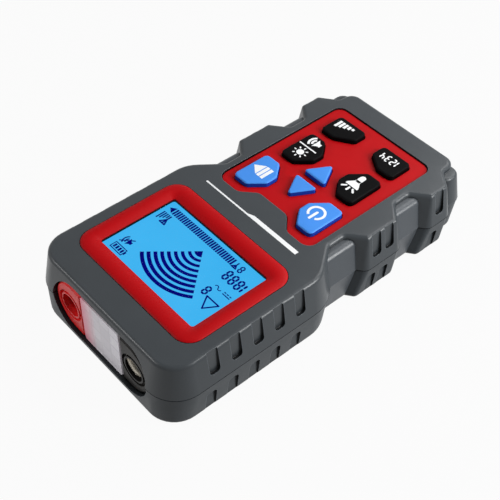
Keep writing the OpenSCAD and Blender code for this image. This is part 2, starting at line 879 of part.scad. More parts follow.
// One rubber key: a flange under the panel, a leaning cap and a nub over its dome
module key(corners, shade) {
    centre = key_centre(corners);
    color(shade) {
        loft([
            lifted(outline(corners, -key_lean), flange_bottom),
            lifted(outline(corners, -key_lean), panel_top),
            lifted(outline(corners, -key_edge / 2), key_top - key_edge),
            lifted(outline(corners, key_edge / 4), key_top - key_edge / 4),
            lifted(outline(corners, key_edge), key_top)
        ]);
        prism(outline(corners, -key_lean - key_ledge, plain_steps), flange_bottom, flange_top);
        translate([centre[0], centre[1], nub_bottom])
            cylinder(r = nub_r, h = flange_top - nub_bottom);
    }
}

module power_key() {
    key(power_corners, key_blue);
}

module send_key() {
    key(send_corners, key_blue);
}

module up_key() {
    key(up_corners, key_blue);
}

module down_key() {
    key(down_corners, key_blue);
}

module torch_key() {
    key(torch_corners, key_black);
}

module light_key() {
    key(light_corners, key_black);
}

module code_key() {
    key(code_corners, key_black);
}

module level_key() {
    key(level_corners, key_black);
}

// Keypad panel, with a hole for each key
module keypad_panel() {
    color(signal_red)
        difference() {
            prism(outline(panel_corners), panel_bottom, panel_top);
            for (corners = key_outlines)
                prism(outline(corners, -key_lean - run_gap), panel_bottom - overrun, panel_top + overrun);
        }
}

// Rubber sheet on the board, open over each dome
module keypad_mat() {
    color("#8d8f90")
        difference() {
            prism(outline(box_corners(board_waist_w - 2 * opening_edge, row_1 - row_3 + set_key_l,
                    panel_round, (row_1 + row_3 - set_key_l) / 2)),
                board_top, board_top + mat_t);
            for (corners = key_outlines)
                translate(concat(key_centre(corners), board_top - overrun))
                    cylinder(r = mat_hole_r, h = mat_t + 2 * overrun);
        }
}

module dome_switches() {
    color("#c9ccd0")
        for (corners = key_outlines)
            translate(concat(key_centre(corners), board_top)) {
                cylinder(r = dome_r, h = dome_h / 2);
                cylinder(r = dome_r / 2, h = dome_h);
            }
}

board_right = [
    [board_tab_half, board_stop, edge_round],
    [board_tab_half, board_tab_start, edge_round],
    [board_waist_w / 2, board_tab_start, edge_round],
    [board_waist_w / 2, board_waist, edge_round],
    [board_head_w / 2, board_waist, edge_round],
    [board_head_w / 2, board_start, edge_round]
];

module main_board() {
    color("#1f6b3a")
        difference() {
            prism(outline(concat(board_right, mirrored(board_right)), 0, plain_steps),
                board_bottom, board_top);
            both_sides()
                for (place = board_post_places)
                    translate([place[0], place[1], board_bottom - overrun])
                        cylinder(r = board_hole_r, h = board_t + 2 * overrun);
        }
}

module board_screws() {
    color("#b9bcc0")
        both_sides()
            for (place = board_post_places)
                translate([place[0], place[1], board_bottom - board_head_t]) {
                    cylinder(r = board_head_r, h = board_head_t);
                    cylinder(r = board_screw_r, h = board_head_t + board_screw_l);
                }
}

module board_chips() {
    color("#222426")
        for (side = [-1, 1])
            block([side * chip_pitch / 2 - chip_w / 2, chip_y - chip_w / 2, board_bottom - chip_t],
                [side * chip_pitch / 2 + chip_w / 2, chip_y + chip_w / 2, board_bottom]);
}

module sounder() {
    color("#1b1c1e")
        difference() {
            translate([sounder_x, sounder_y, board_bottom - sounder_h])
                cylinder(r = sounder_r, h = sounder_h);
            translate([sounder_x, sounder_y, board_bottom - sounder_h - overrun])
                cylinder(r = sounder_port_r, h = sounder_h / 2 + overrun);
        }
}

// Output transformer: a core with the winding standing out at both ends
module output_transformer() {
    color("#5a4a33") {
        translate([transformer_x, transformer_y, board_bottom - core_h / 2])
            cube([core_w, core_l, core_h], center = true);
        translate([transformer_x, transformer_y, board_bottom - core_h / 2])
            cube([core_w / 2, core_l + 2 * coil_over, core_h - coil_over], center = true);
    }
}

// Socket end pieces

// Outline of a socket block seen from the end, with its straight side at the lens
function block_corners(half_w, r, inner) = [
    [inner, -r, least_round],
    [half_w, -r, r - least_round],
    [half_w, r, r - least_round],
    [inner, r, least_round]
];

// Socket block on the +X side: bevelled face, ring, shroud well and rear flange
module socket_block() {
    inner = lens_half + block_gap;
    face = block_corners(block_half_w, block_r, inner);
    rear = block_corners(block_half_w + flange_over, block_r + flange_over, inner);
    difference() {
        union() {
            translate([0, socket_face, parting_z])
                rotate([90, 0, 0])
                    loft([
                        lifted(outline(face, block_bevel, block_steps), 0),
                        lifted(outline(face, 0, block_steps), block_bevel),
                        lifted(outline(face, 0, block_steps), socket_face - socket_back)
                    ]);
            translate([0, flange_front, parting_z])
                rotate([90, 0, 0])
                    linear_extrude(flange_t)
                        polygon(outline(rear, 0, block_steps));
        }
        difference() {
            y_cylinder(socket_x, parting_z, shroud_r + ring_t + ring_groove_w,
                socket_face - ring_groove_depth, socket_face + overrun);
            y_cylinder(socket_x, parting_z, shroud_r + ring_t, socket_back, socket_face + 2 * overrun);
        }
        y_cylinder(socket_x, parting_z, shroud_r, socket_face - shroud_depth, socket_face + overrun);
        y_cylinder(socket_x, parting_z, sleeve_r + sleeve_gap, socket_back - overrun, socket_face);
    }
}

module red_jack() {
    color(signal_red)
        socket_block();
}

module black_jack() {
    color(key_black)
        mirror([1, 0, 0])
            socket_block();
}

// Contact sleeve on the +X side, with the tag that meets the board
module socket_sleeve() {
    difference() {
        union() {
            y_cylinder(socket_x, parting_z, sleeve_r, sleeve_back, sleeve_front);
            block([socket_x - tag_w / 2, sleeve_back, parting_z],
                [socket_x + tag_w / 2, sleeve_back + tag_t, board_bottom]);
        }
        y_cylinder(socket_x, parting_z, bore_r, sleeve_front - bore_l, sleeve_front + overrun);
    }
}

module red_sleeve() {
    color("#d5d7da")
        socket_sleeve();
}

module black_sleeve() {
    color("#d5d7da")
        mirror([1, 0, 0])
            socket_sleeve();
}

// Torch lens, with a flange behind the end wall
module torch_lens() {
    color("#f2f4f6", 0.6)
        translate([0, socket_face, parting_z])
            rotate([90, 0, 0]) {
                linear_extrude(socket_face - lens_back)
                    polygon(outline(box_corners(lens_w, 2 * block_r, lens_round)));
                translate([0, 0, socket_face - flange_front])
                    linear_extrude(flange_t)
                        polygon(outline(box_corners(lens_w, 2 * (block_r + flange_over), lens_round)));
            }
}

module torch_board() {
    color("#f0f0ec")
        block([-torch_board_w / 2, torch_board_front - torch_board_t, parting_z - torch_board_h / 2],
            [torch_board_w / 2, torch_board_front, parting_z + torch_board_h / 2]);
}

module torch_leds() {
    color("#fbfbf4")
        for (i = [0:led_count - 1])
            let (x = (i - (led_count - 1) / 2) * led_pitch) {
                y_cylinder(x, parting_z, led_rim_r, torch_board_front, torch_board_front + led_rim_t);
                y_cylinder(x, parting_z, led_r, torch_board_front, torch_board_front + led_l);
                translate([x, torch_board_front + led_l, parting_z])
                    sphere(r = led_r);
            }
}

// Battery pieces

module battery() {
    color("#2c3038") {
        translate([0, battery_stop, battery_mid_z])
            rotate([90, 0, 0])
                linear_extrude(battery_l)
                    polygon(outline(box_corners(battery_w, battery_t, battery_round)));
        y_cylinder(terminal_x, battery_mid_z, plus_r, battery_stop - overrun, battery_stop + terminal_l);
        y_cylinder(-terminal_x, battery_mid_z, minus_r, battery_stop - overrun, battery_stop + terminal_l);
    }
}

// Snap on the battery's two terminals
module battery_snap() {
    snap_start = battery_stop + seat_gap;
    color("#1c1d1f")
        difference() {
            block([-snap_w / 2, snap_start, battery_mid_z - snap_h / 2],
                [snap_w / 2, snap_start + snap_t, battery_mid_z + snap_h / 2]);
            y_cylinder(terminal_x, battery_mid_z, plus_r + seat_gap,
                snap_start - overrun, snap_start + terminal_l);
            y_cylinder(-terminal_x, battery_mid_z, minus_r + seat_gap,
                snap_start - overrun, snap_start + terminal_l);
        }
}

// Spring strips from the snap through the bay wall and up to the board
module contact_strips() {
    strip_start = battery_stop + seat_gap + snap_t;
    color("#cfd2d5")
        for (side = [-1, 1]) {
            block([side * terminal_x - strip_w / 2, strip_start, strip_z],
                [side * terminal_x + strip_w / 2, strip_stop, strip_z + strip_t]);
            block([side * terminal_x - strip_w / 2, strip_stop - strip_t, strip_z],
                [side * terminal_x + strip_w / 2, strip_stop, board_bottom]);
        }
}

// Battery door: a plate with side tongues, its tail rounded like the back of the case
module battery_door() {
    color(shell_grey)
        difference() {
            intersection() {
                union() {
                    block([-door_w / 2, tail_z_end, door_bottom], [door_w / 2, door_front, door_top]);
                    block([-door_w / 2 - rail_w, tail_z_end + back_round, door_top - rail_t],
                        [door_w / 2 + rail_w, door_front + door_tongue, door_top]);
                }
                union() {
                    block([-case_w / 2, tail_z_end + back_round, 0],
                        [case_w / 2, door_front + overrun, case_h]);
                    translate([-case_w / 2, tail_z_end + back_round, back_round])
                        rotate([0, 90, 0])
                            cylinder(r = back_round, h = case_w);
                }
            }
            for (i = [0:thumb_ribs - 1])
                block([-thumb_l / 2, thumb_start + i * thumb_pitch, door_bottom - overrun],
                    [thumb_l / 2, thumb_start + i * thumb_pitch + thumb_w, door_bottom + thumb_depth]);
        }
}

module case_screws() {
    color("#8f9396")
        both_sides()
            for (place = case_screw_places)
                translate([place[0], place[1], screw_well_depth - screw_head_t]) {
                    cylinder(r = screw_head_r, h = screw_head_t);
                    cylinder(r = screw_r, h = screw_head_t + screw_l);
                }
}

upper_shell();
lower_shell();
lcd_bezel();
lcd_window();
lcd_panel();
backlight();
zebra_strips();
keypad_panel();
power_key();
send_key();
up_key();
down_key();
torch_key();
light_key();
code_key();
level_key();
keypad_mat();
dome_switches();
main_board();
board_screws();
board_chips();
sounder();
output_transformer();
red_jack();
black_jack();
red_sleeve();
black_sleeve();
torch_lens();
torch_board();
torch_leds();
battery();
battery_snap();
contact_strips();
battery_door();
case_screws();
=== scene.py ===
import math

import bmesh
import bpy
from mathutils import Matrix, Vector


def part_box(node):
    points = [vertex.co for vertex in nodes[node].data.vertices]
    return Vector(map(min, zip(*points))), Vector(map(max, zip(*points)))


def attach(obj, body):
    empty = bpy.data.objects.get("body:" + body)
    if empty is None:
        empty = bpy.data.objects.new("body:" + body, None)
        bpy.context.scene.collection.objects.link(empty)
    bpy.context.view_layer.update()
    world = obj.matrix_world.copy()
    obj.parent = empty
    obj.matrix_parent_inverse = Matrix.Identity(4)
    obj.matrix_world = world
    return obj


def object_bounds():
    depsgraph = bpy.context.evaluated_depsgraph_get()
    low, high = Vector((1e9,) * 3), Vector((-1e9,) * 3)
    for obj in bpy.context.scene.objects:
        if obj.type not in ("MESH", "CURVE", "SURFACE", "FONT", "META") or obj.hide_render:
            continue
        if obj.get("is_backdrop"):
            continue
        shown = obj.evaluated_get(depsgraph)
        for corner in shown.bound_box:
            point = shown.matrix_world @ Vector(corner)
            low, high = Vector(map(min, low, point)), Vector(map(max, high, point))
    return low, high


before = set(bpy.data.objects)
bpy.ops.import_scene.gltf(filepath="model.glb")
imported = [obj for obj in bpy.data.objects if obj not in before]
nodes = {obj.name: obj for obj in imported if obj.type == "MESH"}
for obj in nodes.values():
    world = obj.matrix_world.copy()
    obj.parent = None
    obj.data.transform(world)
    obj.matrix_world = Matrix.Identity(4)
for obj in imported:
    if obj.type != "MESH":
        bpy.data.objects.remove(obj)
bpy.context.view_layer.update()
MM = 0.001
WHITE = (1, 1, 1, 1)
BLACK = (0, 0, 0, 1)

# The photograph's camera: angles in degrees; place, sensor and lens in millimetres; clipping in metres
CAMERA_AZIMUTH, CAMERA_ELEVATION, CAMERA_ROLL = 227.6, 46.8, 1.75
CAMERA_PLACE = (-229.63, 217.73, 345.17)
CAMERA_SENSOR, CAMERA_LENS = 36, 72.94
CAMERA_CLIP = 0.01

# Studio: how bright the background shows, the faint light that fills shadows, the floor in metres
SEEN_STRENGTH = 1.0
FILL_COLOUR, FILL_STRENGTH = (0.95, 0.97, 1, 1), 0.06
FLOOR_HALF, FLOOR_DROP = 3.0, 0.0002
FLOOR_MATTE = (0.3, 0.3, 0.3, 1)
FLOOR_GLOW_SHARE = 0.95

# Lamps: name, place, target and size in metres, power in watts
LAMPS = (
    ("key", (-0.44, -0.27, 0.31), (-0.02, -0.04, 0.02), (0.2, 0.3), 3.9),
    ("top", (-0.02, -0.38, 0.4), (0, -0.02, 0.02), (0.35, 0.3), 1.5),
    ("rim", (0.3, 0.5, 0.34), (0, 0.04, 0.02), (0.3, 0.1), 1.3),
)

# Range that noise hardly leaves
NOISE_LOW, NOISE_HIGH = 0.3, 0.7
# Plastic: grain, mottling and patches of gloss per metre, the grain's depth and the edges' round in metres
GRAIN_SCALE, PANEL_GRAIN, KEY_GRAIN = 2600, 3200, 3600
GRAIN_DEPTH, GRAIN_DEEP, GRAIN_STRENGTH = 0.00001, 0.00002, 0.6
MOTTLE_SCALE, PATCH_SCALE = 70, 240
ROUGH_SPREAD = 0.03
EDGE_ROUND, SHELL_EDGE, KEY_EDGE = 0.0004, 0.0002, 0.0003
# Height of a face's normal from which it starts to look up, and at which it does; faces below it take a painted
# shade
LOOKS_UP = (0.35, 0.75)
# Painted highlight on outer edges: reach in metres, agreement of the normals where the highlight is full and where
# it ends
EDGE_HIGHLIGHT_REACH, EDGE_HIGHLIGHT_RANGE = 0.0006, (0.8, 0.985)
# Painted shade in crevices: reach in metres, its share of the colour, openness where it is full and where it ends
CREVICE_SHADE_REACH, CREVICE_SHADE, CREVICE_SHADE_RANGE = 0.006, 0.08, (0.42, 0.84)
# Parting line, painted dark as the shade in its groove: half its height in metres, its share of the colour
SEAM_HALF, SEAM_SHADOW = 0.00025, 0.12
# Lens: pitch of its cells and reach of the painted red cast from the socket in metres, clearness, painted glow,
# shades of cells and joints
CELL_PITCH, LENS_RED_CAST = 0.0065, 0.009
LENS_ROUGH, LENS_IOR, LENS_THROUGH, LENS_PAINTED_GLOW = 0.35, 1.3, 0.1, 0.1
CELL_SHADE, CELL_JOINT_SHADE, CELL_JOINT = 0.8, 0.78, 0.12
# Clear plastic: clouds and haze per metre, the clouds' share of the colour, the spread of the haze
CLOUD_SCALE, HAZE_SCALE = 90, 400
CLOUD_SHADE, HAZE_SPREAD = 0.96, 0.04
# Metal: turning marks per metre in colour, gloss and relief, their stretch per axis and share of the colour
MARK_SCALE, MARK_GLOSS_SCALE, MARK_RELIEF_SCALE = 300, 500, 900
MARK_STRETCH, MARK_SHADE = (1, 40, 1), 0.8
# What the marks take from and add to the roughness, their depth in metres and its strength
MARK_LESS, MARK_MORE = 0.08, 0.1
MARK_DEPTH, MARK_STRENGTH = 0.00002, 0.5
# Circuit boards: tracks per metre, their width, shares of the colour, patches of gloss per metre and their range
TRACK_SCALE, TRACK_WIDTH = 260, 0.06
FIELD_SHADE, TRACK_SHADE = 0.9, 1.35
BOARD_PATCH, BOARD_ROUGH = 120, (0.3, 0.45)

# Smooth shading: how near vertices are welded in metres, the angle in degrees from which an edge is sharp
WELD_REACH = 0.000002
SHARP_ANGLE = 32

# Print and display ink stand this far out, in millimetres
PRINT_THICK = 0.03
INK_THICK = 0.02
# Share of the ink's colour in its darker patches
INK_SHADE = 0.8
# Share of a digit's stroke that is left open at each end of a segment
SEGMENT_GAP = 0.06
# A ring of painted shadow without a top of its own ends this far above its node, in millimetres
GAP_SHADOW_RISE = 0.3

# Finger pads in millimetres: places along the case as (tail, head), inner face, corners and edges
PAD_PLACES = ((-19.0, 3.0), (-59.3, -41.2))
PAD_IN = 33.0
PAD_CORNER, PAD_LEAST_CORNER = 2.6, 0.3
PAD_ROUND = 3.0
QUARTER_TURN = [math.radians(15 * k) for k in range(7)]


# Camera and stage

def add_camera():
    """The photograph's camera, rolled a little."""
    azimuth, elevation, roll = (math.radians(v) for v in (CAMERA_AZIMUTH, CAMERA_ELEVATION, CAMERA_ROLL))
    back = Vector((math.sin(azimuth) * math.cos(elevation), -math.cos(azimuth) * math.cos(elevation),
                   math.sin(elevation)))
    right = (-back).cross(Vector((0, 0, 1))).normalized()
    up = right.cross(-back)
    right_rolled = right * math.cos(roll) + up * math.sin(roll)
    up_rolled = up * math.cos(roll) - right * math.sin(roll)
    camera = bpy.data.cameras.new("camera")
    camera.sensor_width = CAMERA_SENSOR
    camera.lens = CAMERA_LENS
    camera.clip_start = CAMERA_CLIP
    ob = bpy.data.objects.new("camera", camera)
    turn = Matrix((right_rolled, up_rolled, back)).transposed().to_4x4()
    ob.matrix_world = Matrix.Translation(Vector(CAMERA_PLACE) * MM) @ turn
    bpy.context.scene.collection.objects.link(ob)
    bpy.context.scene.camera = ob


def seen_directly(tree):
    """1 on rays that show the background: from the camera, from gloss and through glass."""
    path = tree.nodes.new("ShaderNodeLightPath")
    total = path.outputs["Is Camera Ray"]
    for name in ("Is Glossy Ray", "Is Transmission Ray"):
        most = tree.nodes.new("ShaderNodeMath")
        most.operation = "MAXIMUM"
        tree.links.new(total, most.inputs[0])
        tree.links.new(path.outputs[name], most.inputs[1])
        total = most.outputs[0]
    return total


def show_mixed(tree, share, plain, seen, output):
    """Send the plain shader to the output, and the seen one by its share."""
    mix = tree.nodes.new("ShaderNodeMixShader")
    out = tree.nodes.new(output)
    tree.links.new(share, mix.inputs[0])
    tree.links.new(plain.outputs[0], mix.inputs[1])
    tree.links.new(seen.outputs[0], mix.inputs[2])
    tree.links.new(mix.outputs[0], out.inputs[0])


def add_world():
    """White where it is seen, a faint fill where it lights."""
    world = bpy.data.worlds.new("studio")
    world.use_nodes = True
    tree = world.node_tree
    tree.nodes.clear()
    seen = tree.nodes.new("ShaderNodeBackground")
    seen.inputs["Color"].default_value = WHITE
    seen.inputs["Strength"].default_value = SEEN_STRENGTH
    fill = tree.nodes.new("ShaderNodeBackground")
    fill.inputs["Color"].default_value = FILL_COLOUR
    fill.inputs["Strength"].default_value = FILL_STRENGTH
    show_mixed(tree, seen_directly(tree), fill, seen, "ShaderNodeOutputWorld")
    bpy.context.scene.world = world


def add_floor():
    """Pale floor that keeps the object's shadow."""
    mesh = bpy.data.meshes.new("floor")
    half = FLOOR_HALF
    mesh.from_pydata([(-half, -half, 0), (half, -half, 0), (half, half, 0), (-half, half, 0)], [], [(0, 1, 2, 3)])
    floor = bpy.data.objects.new("floor", mesh)
    floor.location.z = -FLOOR_DROP
    bpy.context.scene.collection.objects.link(floor)
    mat = bpy.data.materials.new("floor_white")
    mat.use_nodes = True
    tree = mat.node_tree
    tree.nodes.clear()
    matte = tree.nodes.new("ShaderNodeBsdfDiffuse")
    matte.inputs["Color"].default_value = FLOOR_MATTE
    glow = tree.nodes.new("ShaderNodeEmission")
    glow.inputs["Color"].default_value = WHITE
    share = tree.nodes.new("ShaderNodeMath")
    share.operation = "MULTIPLY"
    share.inputs[1].default_value = FLOOR_GLOW_SHARE
    tree.links.new(seen_directly(tree), share.inputs[0])
    show_mixed(tree, share.outputs[0], matte, glow, "ShaderNodeOutputMaterial")
    mesh.materials.append(mat)
    floor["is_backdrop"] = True


def add_lamp(name, place, target, size, power):
    """Soft box that looks at its target."""
    lamp = bpy.data.lights.new(name, "AREA")
    lamp.shape = "RECTANGLE"
    lamp.size, lamp.size_y = size
    lamp.energy = power
    ob = bpy.data.objects.new(name, lamp)
    ob.location = place
    ob.rotation_euler = (Vector(target) - Vector(place)).to_track_quat("-Z", "Y").to_euler()
    bpy.context.scene.collection.objects.link(ob)


# Materials

def linear(r, g, b):
    """Colour written as it shows on a screen, 0 to 255, as the shader wants it."""
    def one(v):
        v /= 255
        return v / 12.92 if v <= 0.04045 else ((v + 0.055) / 1.055) ** 2.4
    return (one(r), one(g), one(b), 1)


def scaled(colour, factor):
    """Colour made darker or lighter, up to its full strength."""
    return tuple(min(1, c * factor) for c in colour[:3]) + (1,)


class Shader:
    """A principled material with helpers for procedural detail in object space."""

    # Sockets of the mix node that carry colours
    MIX_A, MIX_B, MIX_OUT = 6, 7, 2

    def __init__(self, name):
        self.mat = bpy.data.materials.new(name)
        self.mat.use_nodes = True
        self.tree = self.mat.node_tree
        self.bsdf = self.tree.nodes["Principled BSDF"]
        place = self.add("ShaderNodeTexCoord")
        self.place = place.outputs["Object"]
        self.facing = place.outputs["Normal"]

    def add(self, kind, values=None, **settings):
        """New node with its settings and the values of its sockets."""
        node = self.tree.nodes.new(kind)
        for key, value in settings.items():
            setattr(node, key, value)
        for key, value in (values or {}).items():
            node.inputs[key].default_value = value
        return node

    def link(self, source, target):
        self.tree.links.new(source, target)

    def set(self, **values):
        """Set sockets of the principled shader."""
        for key, value in values.items():
            self.bsdf.inputs[key.replace("_", " ")].default_value = value

    def feed(self, **sources):
        """Link sockets of the principled shader."""
        for key, source in sources.items():
            self.link(source, self.bsdf.inputs[key.replace("_", " ")])

    def part(self, vector, axis):
        """One axis of a vector."""
        split = self.add("ShaderNodeSeparateXYZ")
        self.link(vector, split.inputs[0])
        return split.outputs[axis]

    def noise(self, scale, detail=2.0, rough=0.5, stretch=None):
        """Noise in object space, with a stretch as a scale per axis."""
        node = self.add("ShaderNodeTexNoise", {"Scale": scale, "Detail": detail, "Roughness": rough})
        place = self.place
        if stretch:
            mapping = self.add("ShaderNodeMapping", {"Scale": stretch})
            self.link(place, mapping.inputs["Vector"])
            place = mapping.outputs[0]
        self.link(place, node.inputs["Vector"])
        return node.outputs["Fac"]

    def ranged(self, value, low, high, from_low=NOISE_LOW, from_high=NOISE_HIGH):
        """Value carried from one range, which is that of noise unless given, to another."""
        node = self.add("ShaderNodeMapRange", {"From Min": from_low, "From Max": from_high,
                                               "To Min": low, "To Max": high})
        self.link(value, node.inputs["Value"])
        return node.outputs[0]

    def mixed(self, share, a, b):
        """Colour between a and b, each a colour or a socket, by the share of b."""
        node = self.add("ShaderNodeMix", data_type="RGBA")
        self.link(share, node.inputs["Factor"])
        for socket, value in ((node.inputs[self.MIX_A], a), (node.inputs[self.MIX_B], b)):
            if isinstance(value, tuple):
                socket.default_value = value
            else:
                self.link(value, socket)
        return node.outputs[self.MIX_OUT]

    def bump(self, height, depth, strength, edge=0.0):
        """Fine relief, over edges rounded by a radius in metres."""
        node = self.add("ShaderNodeBump", {"Strength": strength, "Distance": depth})
        self.link(height, node.inputs["Height"])
        if edge:
            bevel = self.add("ShaderNodeBevel", {"Radius": edge}, samples=6)
            self.link(bevel.outputs[0], node.inputs["Normal"])
        self.feed(Normal=node.outputs[0])

    def painted_edge_highlight(self):
        """1 on edges, 0 on faces: where a highlight is painted."""
        rim = self.add("ShaderNodeBevel", {"Radius": EDGE_HIGHLIGHT_REACH}, samples=8)
        surface = self.add("ShaderNodeNewGeometry")
        turned = self.add("ShaderNodeVectorMath", operation="DOT_PRODUCT")
        self.link(rim.outputs[0], turned.inputs[0])
        self.link(surface.outputs["Normal"], turned.inputs[1])
        return self.ranged(turned.outputs["Value"], 1, 0, *EDGE_HIGHLIGHT_RANGE)

    def openness(self):
        """0 in crevices, 1 on open faces: crevices take a painted shade."""
        sky = self.add("ShaderNodeAmbientOcclusion", {"Distance": CREVICE_SHADE_REACH}, samples=12)
        return self.ranged(sky.outputs["AO"], 0, 1, *CREVICE_SHADE_RANGE)


def moulded(name, shade, rough=0.5, vary=0.08, grain=GRAIN_SCALE, depth=GRAIN_DEPTH, edge=EDGE_ROUND,
            specular=0.5, side=None, seam=None, relief=0.0):
    """Moulded plastic or rubber: a fine spark-eroded grain, faint mottling, softened edges.

    Side is a painted shade for faces that don't look up; seam is the height in metres of the parting line, painted
    dark as the shade in its groove.
    Relief is how much lighter than the faces the outer edges are painted, a painted highlight; crevices then take
    a painted shade.
    """
    s = Shader(name)
    base = linear(*shade)
    mottle = s.ranged(s.noise(MOTTLE_SCALE, detail=5, rough=0.6), 0, 1)
    shown = s.mixed(mottle, scaled(base, 1 - vary), scaled(base, 1 + vary))
    # Faces that don't look up take a painted shade
    if side:
        shown = s.mixed(s.ranged(s.part(s.facing, "Z"), 0, 1, *LOOKS_UP), linear(*side), shown)
    if relief:
        # Outer edges painted lighter: a painted highlight
        shown = s.mixed(s.painted_edge_highlight(), shown, scaled(base, 1 + relief))
        # Crevices painted darker: a painted shade
        shown = s.mixed(s.openness(), scaled(base, CREVICE_SHADE), shown)
    # A band along the parting line painted dark, without gloss, as the shade in its groove
    if seam:
        near = s.add("ShaderNodeMath", {1: seam, 2: SEAM_HALF}, operation="COMPARE")
        s.link(s.part(s.place, "Z"), near.inputs[0])
        shown = s.mixed(near.outputs[0], shown, scaled(base, SEAM_SHADOW))
        s.feed(Specular_IOR_Level=s.ranged(near.outputs[0], specular, 0, 0, 1))
    patches = s.ranged(s.noise(PATCH_SCALE, detail=4), rough - ROUGH_SPREAD, rough + ROUGH_SPREAD)
    s.feed(Base_Color=shown, Roughness=patches)
    s.bump(s.noise(grain, detail=3, rough=0.6), depth, GRAIN_STRENGTH, edge)
    s.set(Specular_IOR_Level=specular)
    return s.mat


def metal(name, shade, rough=0.25):
    """Plated metal with turning marks along one direction."""
    s = Shader(name)
    base = linear(*shade)
    marks = s.ranged(s.noise(MARK_SCALE, detail=3, stretch=MARK_STRETCH), 0, 1)
    gloss = s.ranged(s.noise(MARK_GLOSS_SCALE, stretch=MARK_STRETCH), rough - MARK_LESS, rough + MARK_MORE)
    s.feed(Base_Color=s.mixed(marks, scaled(base, MARK_SHADE), base), Roughness=gloss)
    s.bump(s.noise(MARK_RELIEF_SCALE, stretch=MARK_STRETCH), MARK_DEPTH, MARK_STRENGTH)
    s.set(Metallic=1.0)
    return s.mat


def haze(s, rough):
    """Roughness of clear plastic, a little uneven."""
    return s.ranged(s.noise(HAZE_SCALE, detail=3), max(0.0, rough - HAZE_SPREAD), rough + HAZE_SPREAD)


def clear(name, shade, rough, ior):
    """Clear plastic with faint clouds."""
    s = Shader(name)
    base = linear(*shade)
    clouds = s.ranged(s.noise(CLOUD_SCALE, detail=3), 0, 1)
    s.feed(Base_Color=s.mixed(clouds, scaled(base, CLOUD_SHADE), base), Roughness=haze(s, rough))
    s.set(Transmission_Weight=1.0, IOR=ior)
    return s.mat


def frosted(name, shade, cast_colour, cast_full, plain):
    """Frosted lens with faint cells and a faint painted glow; a painted red cast from the socket beside it fades
    between two places along x, in metres.
    """
    s = Shader(name)
    base = linear(*shade)
    upright = s.add("ShaderNodeMapping", {"Rotation": (math.radians(90), 0, 0)})
    s.link(s.place, upright.inputs["Vector"])
    cells = s.add("ShaderNodeTexBrick", {
        "Scale": 1 / CELL_PITCH, "Brick Width": 1.0, "Row Height": 1.0,
        "Mortar Size": CELL_JOINT, "Mortar Smooth": 1.0,
        "Color1": base, "Color2": scaled(base, CELL_SHADE), "Mortar": scaled(base, CELL_JOINT_SHADE)}, offset=0.0)
    s.link(upright.outputs[0], cells.inputs["Vector"])
    red_cast = s.ranged(s.part(s.place, "X"), 0, 1, plain, cast_full)
    shown = s.mixed(red_cast, cells.outputs["Color"], linear(*cast_colour))
    # The lens glows faintly in its own colours: a painted light
    s.feed(Base_Color=shown, Emission_Color=shown, Roughness=haze(s, LENS_ROUGH))
    s.set(Emission_Strength=LENS_PAINTED_GLOW, Transmission_Weight=LENS_THROUGH, IOR=LENS_IOR)
    return s.mat


def glowing(name, low, high, patch, rough):
    """Light of its own between two shades, in patches per metre, without gloss."""
    s = Shader(name)
    s.set(Base_Color=BLACK, Roughness=rough, Specular_IOR_Level=0.0, Emission_Strength=1.0)
    s.feed(Emission_Color=s.mixed(s.ranged(s.noise(patch), 0, 1), low, high))
    return s.mat


def board(name, shade):
    """Coated circuit board with faint tracks under the coat."""
    s = Shader(name)
    base = linear(*shade)
    tracks = s.add("ShaderNodeTexBrick", {
        "Scale": TRACK_SCALE, "Mortar Size": TRACK_WIDTH,
        "Color1": base, "Color2": scaled(base, FIELD_SHADE), "Mortar": scaled(base, TRACK_SHADE)})
    s.link(s.place, tracks.inputs["Vector"])
    s.feed(Base_Color=tracks.outputs["Color"], Roughness=s.ranged(s.noise(BOARD_PATCH), *BOARD_ROUGH))
    return s.mat


def soften(*objects):
    """Shade the facets of rounds smoothly and leave real edges sharp."""
    group = bpy.data.node_groups.new("soft_rounds", "GeometryNodeTree")
    for way in ("INPUT", "OUTPUT"):
        group.interface.new_socket("Geometry", in_out=way, socket_type="NodeSocketGeometry")
    start = group.nodes.new("NodeGroupInput")
    stop = group.nodes.new("NodeGroupOutput")
    weld = group.nodes.new("GeometryNodeMergeByDistance")
    weld.inputs["Distance"].default_value = WELD_REACH
    faces = group.nodes.new("GeometryNodeSetShadeSmooth")
    faces.domain = "FACE"
    edges = group.nodes.new("GeometryNodeSetShadeSmooth")
    edges.domain = "EDGE"
    angle = group.nodes.new("GeometryNodeInputMeshEdgeAngle")
    below = group.nodes.new("FunctionNodeCompare")
    below.data_type = "FLOAT"
    below.operation = "LESS_THAN"
    below.inputs["B"].default_value = math.radians(SHARP_ANGLE)
    group.links.new(start.outputs[0], weld.inputs["Geometry"])
    group.links.new(weld.outputs[0], faces.inputs["Geometry"])
    group.links.new(faces.outputs[0], edges.inputs["Geometry"])
    group.links.new(angle.outputs["Unsigned Angle"], below.inputs["A"])
    group.links.new(below.outputs[0], edges.inputs["Shade Smooth"])
    group.links.new(edges.outputs[0], stop.inputs[0])
    for ob in objects:
        shade = ob.modifiers.new("soft_rounds", "NODES")
        shade.node_group = group
        weigh = ob.modifiers.new("even_faces", "WEIGHTED_NORMAL")
        weigh.keep_sharp = True


def dress(material, *names):
    """Give CAD nodes their material."""
    for name in names:
        mesh = nodes[name].data
        mesh.materials.clear()
        mesh.materials.append(material)


# Meshes of the scene's own pieces, from points in millimetres

def loop(bm, points):
    """New vertices at the points."""
    return [bm.verts.new((x * MM, y * MM, z * MM)) for x, y, z in points]


def bridge(bm, low, high):
    """New faces between two loops of as many vertices."""
    n = len(low)
    return [bm.faces.new((low[i], low[(i + 1) % n], high[(i + 1) % n], high[i])) for i in range(n)]


